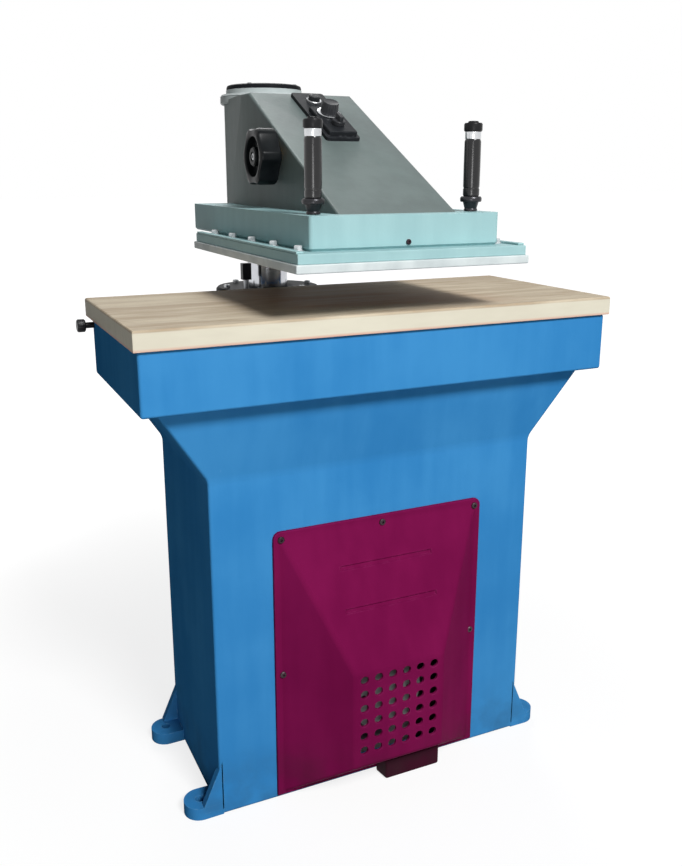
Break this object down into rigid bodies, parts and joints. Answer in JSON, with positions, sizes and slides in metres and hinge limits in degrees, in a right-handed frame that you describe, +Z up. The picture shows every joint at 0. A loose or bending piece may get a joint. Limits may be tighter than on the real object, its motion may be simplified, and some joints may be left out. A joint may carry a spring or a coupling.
{
  "type": "swing-arm die cutting press",
  "caption": "Hydraulic swing-arm die cutting press: cast pedestal, wide cutting board, and a ramp-shaped arm with a flat platen that swings and strikes down on its column.",
  "frame": {"origin": "on the floor, in the middle of the four floor bolt holes", "axes": "+X to the operator's right, +Y to the rear where the column stands, +Z up"},
  "size_m": [0.924, 0.812, 1.339],
  "materials": {
    "blue_paint": "semi-gloss machine enamel over a casting",
    "maroon_paint": "semi-gloss enamel on a moulded cover",
    "arm_paint": "grey-green hammered enamel",
    "carrier_paint": "pale grey-green enamel",
    "board_nylon": "worn cream cutting nylon",
    "plate_aluminium": "milled plate",
    "column_chrome": "ground and chromed",
    "bright_steel": "turned or drawn steel",
    "fastener_steel": "plated fasteners",
    "bush_bronze": "bearing bronze",
    "black_enamel": "black satin enamel",
    "black_plastic": "moulded black plastic",
    "grip_rubber": "black rubber",
    "knob_grey": "dark moulded knob with a bright skirt",
    "button_green": "glossy push button",
    "button_black": "glossy push button",
    "motor_grey": "painted cast iron",
    "sheet_grey": "grey painted sheet steel",
    "fan_plastic": "moulded fan"
  },
  "bodies": {
    "base": {"frame_casting": "blue_paint", "cutting_board": "board_nylon", "service_cover": "maroon_paint", "cover_screws": "fastener_steel", "cover_toe": "maroon_paint", "rear_column_housing": "blue_paint", "housing_bolts": "fastener_steel", "column_gland": "black_enamel", "gland_bolts": "fastener_steel", "upper_column_bush": "bush_bronze", "lower_column_bush": "bush_bronze", "cylinder_gland": "bright_steel", "cylinder_liner": "bright_steel", "switch_post": "black_enamel", "stroke_switch": "black_plastic", "tank_shelf": "sheet_grey", "oil_tank": "sheet_grey", "motor_body": "motor_grey", "fan_cover": "sheet_grey", "bell_housing": "motor_grey", "gear_pump": "motor_grey", "valve_block": "motor_grey", "solenoid_valve": "black_plastic", "pressure_pipe": "bright_steel", "feed_pipe": "bright_steel", "control_box": "sheet_grey"},
    "column": {"column_post": "column_chrome", "thrust_washer": "bright_steel", "column_nut": "bright_steel", "piston": "bright_steel", "piston_rings": "grip_rubber"},
    "arm": {"arm_casting": "arm_paint", "hub_bushes": "bush_bronze", "hub_collar": "arm_paint", "hub_cap": "black_enamel", "cap_screws": "fastener_steel", "platen_carrier": "carrier_paint", "striking_plate": "plate_aluminium", "clamp_bars": "carrier_paint", "clamp_bolts": "fastener_steel", "centre_screw": "fastener_steel", "wheel_bush": "bush_bronze", "control_panel": "black_enamel", "start_button_rim": "bright_steel", "handle_stems": "black_enamel", "handle_grips": "grip_rubber", "handle_rings": "bright_steel", "handle_hoods": "black_plastic"},
    "depth_wheel": {"depth_handwheel": "black_plastic", "wheel_shaft": "bright_steel", "depth_cam": "bright_steel"},
    "left_button": {"left_thumb_button": "button_black"},
    "right_button": {"right_thumb_button": "button_black"},
    "timer": {"timer_knob": "knob_grey"},
    "selector": {"selector_knob": "black_plastic"},
    "start": {"start_button": "button_green"},
    "board_lock": {"board_lock_knob": "black_plastic"},
    "rotor": {"motor_shaft": "bright_steel", "motor_fan": "fan_plastic", "shaft_coupling": "bright_steel"}
  },
  "joints": [
    {"name": "press_stroke", "type": "slide", "parent": "base", "child": "column", "axis": [0, 0, 1], "range_m": [-0.065, 0], "stiffness_N_per_m": 20000, "springref_m": 0.2},
    {"name": "arm_swing", "type": "hinge", "parent": "column", "child": "arm", "pos_m": [0, 0.416, 1.03], "axis": [0, 0, 1], "range_deg": [-80, 80]},
    {"name": "depth_wheel_turn", "type": "hinge", "parent": "arm", "child": "depth_wheel", "pos_m": [-0.118, 0.06, 1.176], "axis": [-1, 0, 0], "range_deg": [-150, 150]},
    {"name": "left_button_press", "type": "slide", "parent": "arm", "child": "left_button", "axis": [0, 0, -1], "range_m": [0, 0.004], "stiffness_N_per_m": 500, "springref_m": -0.002},
    {"name": "right_button_press", "type": "slide", "parent": "arm", "child": "right_button", "axis": [0, 0, -1], "range_m": [0, 0.004], "stiffness_N_per_m": 500, "springref_m": -0.002},
    {"name": "selector_turn", "type": "hinge", "parent": "arm", "child": "selector", "pos_m": [0.008, 0.05583, 1.22023], "axis": [0, -0.4574, 0.8892], "range_deg": [-45, 45]},
    {"name": "timer_turn", "type": "hinge", "parent": "arm", "child": "timer", "pos_m": [0.008, 0.09673, 1.24128], "axis": [0, -0.4574, 0.8892], "range_deg": [-135, 135]},
    {"name": "start_press", "type": "slide", "parent": "arm", "child": "start", "axis": [0, 0.4574, -0.8892], "range_m": [0, 0.003], "stiffness_N_per_m": 500, "springref_m": -0.002},
    {"name": "board_lock_turn", "type": "hinge", "parent": "base", "child": "board_lock", "pos_m": [-0.443, 0.141, 0.878], "axis": [-1, 0, 0], "range_deg": [-120, 120]},
    {"name": "motor_spin", "type": "hinge", "parent": "base", "child": "rotor", "pos_m": [0, 0, 0.186], "axis": [0, 1, 0], "continuous": true}
  ]
}
